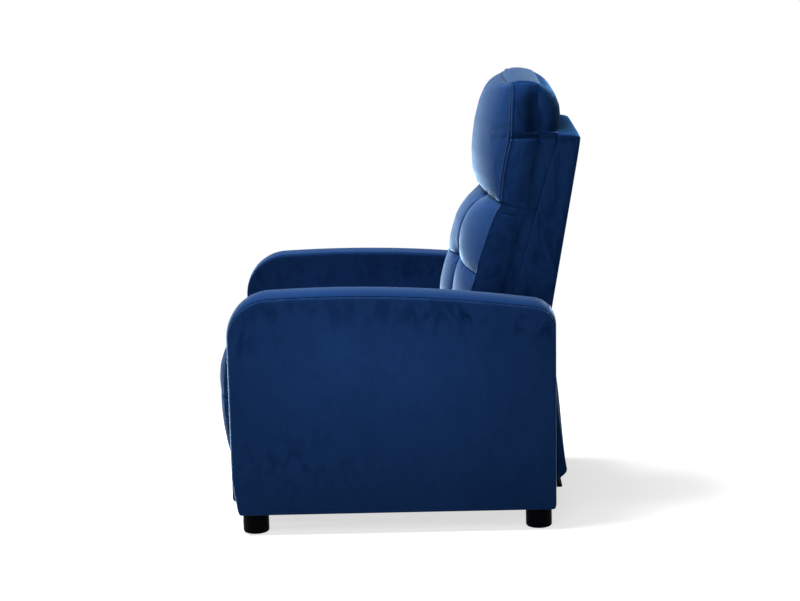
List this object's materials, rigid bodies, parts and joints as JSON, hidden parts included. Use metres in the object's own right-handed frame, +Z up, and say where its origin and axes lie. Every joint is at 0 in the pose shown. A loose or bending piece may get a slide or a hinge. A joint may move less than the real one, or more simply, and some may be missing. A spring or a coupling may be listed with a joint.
{
  "type": "push-back recliner",
  "caption": "Upholstered push-back recliner in velvet, with rounded track arms, a tufted back that leans and a footrest that unfolds on a steel linkage.",
  "frame": {"origin": "centre of the outline on the floor, under the upright chair", "axes": "+Z up, -Y the way the chair faces, +X the sitter's left"},
  "size_m": [0.67, 0.8098, 0.9705],
  "materials": {
    "velvet": "short blue velvet pile over foam",
    "frame_wood": "raw softwood and plywood",
    "link_steel": "black coated pressed steel",
    "spring_wire": "drawn spring wire",
    "foot_plastic": "moulded black plastic",
    "fastening_tape": "woven black fastening tape"
  },
  "bodies": {
    "base": {"arm_board_left": "frame_wood", "arm_board_right": "frame_wood", "arm_outer_pad_left": "velvet", "arm_outer_pad_right": "velvet", "arm_inner_pad_left": "velvet", "arm_inner_pad_right": "velvet", "arm_band_left": "velvet", "arm_band_right": "velvet", "front_foot_left": "foot_plastic", "front_foot_right": "foot_plastic", "rear_foot_left": "foot_plastic", "rear_foot_right": "foot_plastic", "base_plate_left": "link_steel", "base_plate_right": "link_steel", "front_rail": "velvet", "rear_rail": "frame_wood"},
    "front_links": {"front_swing_link_left": "link_steel", "front_swing_link_right": "link_steel"},
    "rear_links": {"rear_swing_link_left": "link_steel", "rear_swing_link_right": "link_steel"},
    "seat": {"seat_plate_left": "link_steel", "seat_plate_right": "link_steel", "seat_side_rail_left": "frame_wood", "seat_side_rail_right": "frame_wood", "seat_front_rail": "frame_wood", "seat_rear_rail": "frame_wood", "seat_spring_1": "spring_wire", "seat_spring_2": "spring_wire", "seat_spring_3": "spring_wire", "seat_cushion": "velvet", "flap_rail": "frame_wood", "flap_strip": "fastening_tape", "rear_flap": "velvet"},
    "back": {"back_bracket_left": "link_steel", "back_bracket_right": "link_steel", "back_stile_left": "frame_wood", "back_stile_right": "frame_wood", "back_top_rail": "frame_wood", "back_bottom_rail": "frame_wood", "lumbar_cushion": "velvet", "head_pillow": "velvet", "back_cover": "velvet"},
    "back_drive": {"back_drive_link_left": "link_steel", "back_drive_link_right": "link_steel"},
    "footrest_drive": {"footrest_drive_link_left": "link_steel", "footrest_drive_link_right": "link_steel"},
    "footrest_main": {"footrest_main_link_left": "link_steel", "footrest_main_link_right": "link_steel"},
    "footrest_guide": {"footrest_guide_link_left": "link_steel", "footrest_guide_link_right": "link_steel"},
    "footrest_carrier": {"footrest_carrier_link_left": "link_steel", "footrest_carrier_link_right": "link_steel"},
    "footrest_tilt": {"footrest_tilt_link_left": "link_steel", "footrest_tilt_link_right": "link_steel"},
    "footrest": {"footrest_bracket_left": "link_steel", "footrest_bracket_right": "link_steel", "footrest_board": "frame_wood", "footrest_pad": "velvet"}
  },
  "joints": [
    {"name": "front_swing", "type": "hinge", "parent": "base", "child": "front_links", "pos_m": [0, -0.16, 0.125], "axis": [-1, 0, 0], "range_deg": [-60, 0]},
    {"name": "rear_swing", "type": "hinge", "parent": "base", "child": "rear_links", "pos_m": [0, 0, 0.125], "axis": [-1, 0, 0], "range_deg": [-60, 0]},
    {"name": "seat_level", "type": "hinge", "parent": "rear_links", "child": "seat", "pos_m": [0, 0.055, 0.22026], "axis": [-1, 0, 0], "range_deg": [0, 60]},
    {"name": "recline", "type": "hinge", "parent": "seat", "child": "back", "pos_m": [0, 0.13, 0.335], "axis": [-1, 0, 0], "range_deg": [0, 34], "deforming": ["rear_flap"]},
    {"name": "back_drive", "type": "hinge", "parent": "base", "child": "back_drive", "pos_m": [0, 0.104, 0.102], "axis": [-1, 0, 0], "range_deg": [-41, 0]},
    {"name": "footrest_drive", "type": "hinge", "parent": "front_links", "child": "footrest_drive", "pos_m": [0, -0.09, 0.24624], "axis": [-1, 0, 0], "range_deg": [0, 62]},
    {"name": "footrest_main", "type": "hinge", "parent": "seat", "child": "footrest_main", "pos_m": [0, -0.27, 0.3], "axis": [-1, 0, 0], "range_deg": [0, 90]},
    {"name": "footrest_guide", "type": "hinge", "parent": "seat", "child": "footrest_guide", "pos_m": [0, -0.31154, 0.31729], "axis": [-1, 0, 0], "range_deg": [0, 90]},
    {"name": "footrest_carrier", "type": "hinge", "parent": "footrest_main", "child": "footrest_carrier", "pos_m": [0, -0.2, 0.13], "axis": [-1, 0, 0], "range_deg": [-90, 0]},
    {"name": "footrest_tilt", "type": "hinge", "parent": "footrest_main", "child": "footrest_tilt", "pos_m": [0, -0.202, 0.175], "axis": [-1, 0, 0], "range_deg": [-90, 0]},
    {"name": "footrest_turn", "type": "hinge", "parent": "footrest_carrier", "child": "footrest", "pos_m": [0, -0.315, 0.235], "axis": [-1, 0, 0], "range_deg": [0, 90]}
  ],
  "couplings": [
    {"joint": "front_swing", "follows": "recline", "ratio": -1.7647},
    {"joint": "rear_swing", "follows": "recline", "ratio": -1.7647},
    {"joint": "seat_level", "follows": "recline", "ratio": 1.7647},
    {"joint": "back_drive", "follows": "recline", "ratio": -1.1906},
    {"joint": "footrest_drive", "follows": "recline", "ratio": 1.8162},
    {"joint": "footrest_main", "follows": "recline", "ratio": 2.647},
    {"joint": "footrest_guide", "follows": "recline", "ratio": 2.647},
    {"joint": "footrest_carrier", "follows": "recline", "ratio": -2.647},
    {"joint": "footrest_tilt", "follows": "recline", "ratio": -2.647},
    {"joint": "footrest_turn", "follows": "recline", "ratio": 2.647}
  ]
}
